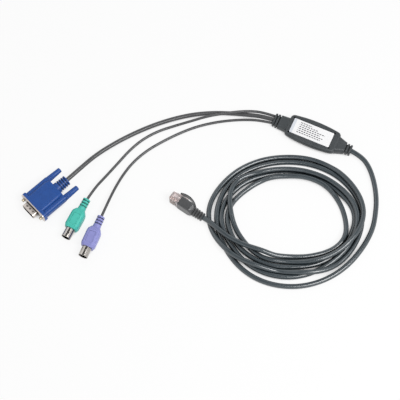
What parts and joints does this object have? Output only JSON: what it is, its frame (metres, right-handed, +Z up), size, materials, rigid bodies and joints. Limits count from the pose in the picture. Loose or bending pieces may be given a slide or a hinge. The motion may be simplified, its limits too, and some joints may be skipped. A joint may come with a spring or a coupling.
{
  "type": "kvm cable",
  "caption": "Keyboard, video and mouse adapter cable: an in-line pod with video, mouse and keyboard plugs on short branch cords and a coiled trunk cord to a network plug.",
  "frame": {"origin": "centre of the in-line pod's underside, on the surface that the cable lies on", "axes": "+X along the pod from its branch end to its trunk end, +Y across the pod away from the coil, +Z up"},
  "size_m": [0.3113, 0.2153, 0.015],
  "materials": {
    "pod_plastic": "satin",
    "label_film": "satin",
    "board": "satin",
    "chip": "matte",
    "bare_metal": "satin",
    "blue_plastic": "satin",
    "green_plastic": "satin",
    "violet_plastic": "satin",
    "plated_shell": "satin",
    "screw_metal": "satin",
    "insulator": "matte",
    "gilt_contact": "polished",
    "clear_plastic": "gloss",
    "conductor": "gloss",
    "boot_rubber": "satin",
    "cord_jacket": "satin"
  },
  "bodies": {
    "harness": {"pod_housing": "pod_plastic", "pod_label": "label_film", "circuit_board": "board", "main_chip": "chip", "driver_chip": "chip", "crystal_can": "bare_metal", "video_hood": "blue_plastic", "video_shell": "plated_shell", "video_insert": "insulator", "video_pins": "gilt_contact", "mouse_plug_body": "green_plastic", "mouse_plug_shell": "plated_shell", "mouse_plug_insert": "insulator", "mouse_plug_pins": "gilt_contact", "keyboard_plug_body": "violet_plastic", "keyboard_plug_shell": "plated_shell", "keyboard_plug_insert": "insulator", "keyboard_plug_pins": "gilt_contact", "network_plug_body": "clear_plastic", "network_plug_contacts": "gilt_contact", "network_plug_conductors": "conductor", "network_plug_boot": "boot_rubber", "video_cord": "cord_jacket", "mouse_cord": "cord_jacket", "keyboard_cord": "cord_jacket", "trunk_lead": "cord_jacket", "trunk_coil": "cord_jacket", "trunk_tail": "cord_jacket"},
    "left_thumbscrew": {"left_thumbscrew_knob": "blue_plastic", "left_thumbscrew_screw": "screw_metal"},
    "right_thumbscrew": {"right_thumbscrew_knob": "blue_plastic", "right_thumbscrew_screw": "screw_metal"},
    "latch": {"network_plug_latch": "clear_plastic"}
  },
  "joints": [
    {"name": "left_thumbscrew_turn", "type": "hinge", "parent": "harness", "child": "left_thumbscrew", "pos_m": [-0.18356, -0.15075, 0.007], "axis": [-0.3746, -0.9272, 0], "continuous": true},
    {"name": "right_thumbscrew_turn", "type": "hinge", "parent": "harness", "child": "right_thumbscrew", "pos_m": [-0.20674, -0.14138, 0.007], "axis": [-0.3746, -0.9272, 0], "continuous": true},
    {"name": "latch_press", "type": "hinge", "parent": "harness", "child": "latch", "pos_m": [-0.09418, -0.1101, 0.00657], "axis": [0, 0, -1], "range_deg": [0, 7], "stiffness_Nm_per_rad": 0.05}
  ]
}
